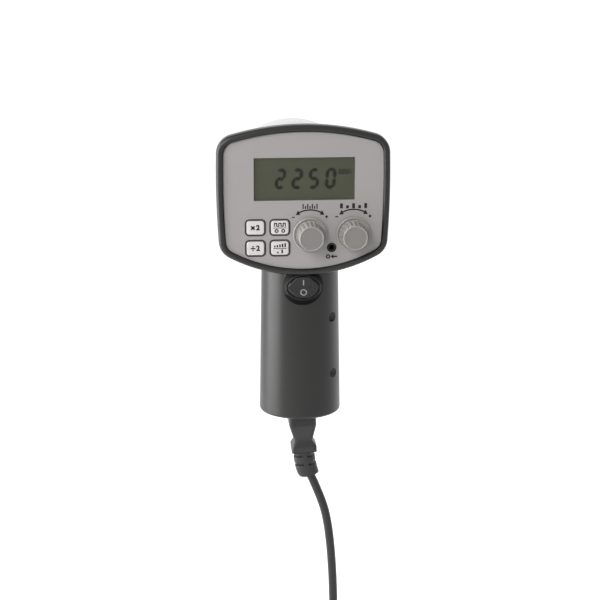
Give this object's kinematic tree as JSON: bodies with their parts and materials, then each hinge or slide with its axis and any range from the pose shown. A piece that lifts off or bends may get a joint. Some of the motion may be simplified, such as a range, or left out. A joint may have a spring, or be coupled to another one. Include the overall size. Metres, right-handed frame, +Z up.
{
  "type": "xenon stroboscope",
  "caption": "Hand-held flashing lamp for measuring rotation speed: a clear-fronted reflector lamp, a display panel with keys and knobs, an upright grip with a switch, and a mains lead.",
  "frame": {"origin": "middle of the grip, on its axis, where a hand or a clamp holds it", "axes": "+Z up the grip, +Y the way the lamp shines, so the control panel faces -Y, +X to the right of the person who reads the panel"},
  "size_m": [0.1355, 0.1886, 0.4896],
  "materials": {
    "case_black": "satin black moulded plastic",
    "panel_grey": "fine matt silver grey",
    "key_white": "matt light grey",
    "knob_grey": "matt grey moulded plastic",
    "clear_plastic": "clear polycarbonate",
    "window_clear": "clear acrylic over the display",
    "display_olive": "olive grey liquid crystal glass",
    "board_green": "green solder mask",
    "steel": "plated steel",
    "brass_plated": "nickel plated brass",
    "switch_black": "gloss black",
    "inner_black": "matt black",
    "component_blue": "dipped film capacitor",
    "winding_brown": "taped winding",
    "core_iron": "laminated iron with a taped winding",
    "reflector_mirror": "bright spun aluminium",
    "ceramic_white": "white ceramic",
    "tube_glass": "clear quartz glass",
    "gasket_rubber": "black rubber",
    "cord_black": "gloss black cord jacket",
    "plug_black": "moulded black plug"
  },
  "bodies": {
    "housing": {"left_case_half": "case_black", "right_case_half": "case_black", "case_screws": "steel", "front_panel": "panel_grey", "display_window": "window_clear", "display_module": "display_olive", "key_switches": "inner_black", "fine_potentiometer": "brass_plated", "coarse_potentiometer": "brass_plated", "potentiometer_nuts": "steel", "trigger_socket": "inner_black", "control_board": "board_green", "power_board": "board_green", "board_spacers": "brass_plated", "board_screws": "steel", "storage_capacitors": "component_blue", "trigger_transformer": "winding_brown", "power_switch": "switch_black", "switch_tabs": "brass_plated", "lamp_reflector": "reflector_mirror", "lamp_base": "ceramic_white", "flash_tube": "tube_glass", "lamp_electrodes": "steel", "lamp_gasket": "gasket_rubber", "lamp_cover": "clear_plastic", "mains_transformer": "core_iron", "inlet_housing": "inner_black", "inlet_pins": "brass_plated", "connector_body": "plug_black", "connector_relief": "plug_black", "cord_run": "cord_black", "cord_coil": "cord_black", "cord_tail": "cord_black", "cord_tie": "inner_black", "plug_relief": "plug_black", "plug_body": "plug_black", "plug_blades": "brass_plated"},
    "key_double_body": {"key_double": "key_white"},
    "key_trigger_body": {"key_trigger": "key_white"},
    "key_halve_body": {"key_halve": "key_white"},
    "key_range_body": {"key_range": "key_white"},
    "fine_control": {"fine_knob": "knob_grey", "fine_shaft": "brass_plated"},
    "coarse_control": {"coarse_knob": "knob_grey", "coarse_shaft": "brass_plated"},
    "rocker": {"power_rocker": "switch_black"}
  },
  "joints": [
    {"name": "key_double_press", "type": "slide", "parent": "housing", "child": "key_double_body", "axis": [0, 1, 0], "range_m": [0, 0.0008], "stiffness_N_per_m": 1500},
    {"name": "key_trigger_press", "type": "slide", "parent": "housing", "child": "key_trigger_body", "axis": [0, 1, 0], "range_m": [0, 0.0008], "stiffness_N_per_m": 1500},
    {"name": "key_halve_press", "type": "slide", "parent": "housing", "child": "key_halve_body", "axis": [0, 1, 0], "range_m": [0, 0.0008], "stiffness_N_per_m": 1500},
    {"name": "key_range_press", "type": "slide", "parent": "housing", "child": "key_range_body", "axis": [0, 1, 0], "range_m": [0, 0.0008], "stiffness_N_per_m": 1500},
    {"name": "fine_turn", "type": "hinge", "parent": "housing", "child": "fine_control", "pos_m": [0.0044, -0.0348, 0.0835], "axis": [0, 1, 0], "range_deg": [-150, 150]},
    {"name": "coarse_turn", "type": "hinge", "parent": "housing", "child": "coarse_control", "pos_m": [0.0345, -0.0348, 0.0835], "axis": [0, 1, 0], "range_deg": [-150, 150]},
    {"name": "power_rock", "type": "hinge", "parent": "housing", "child": "rocker", "pos_m": [0, -0.0311, 0.0452], "axis": [1, 0, 0], "range_deg": [0, 16]}
  ]
}
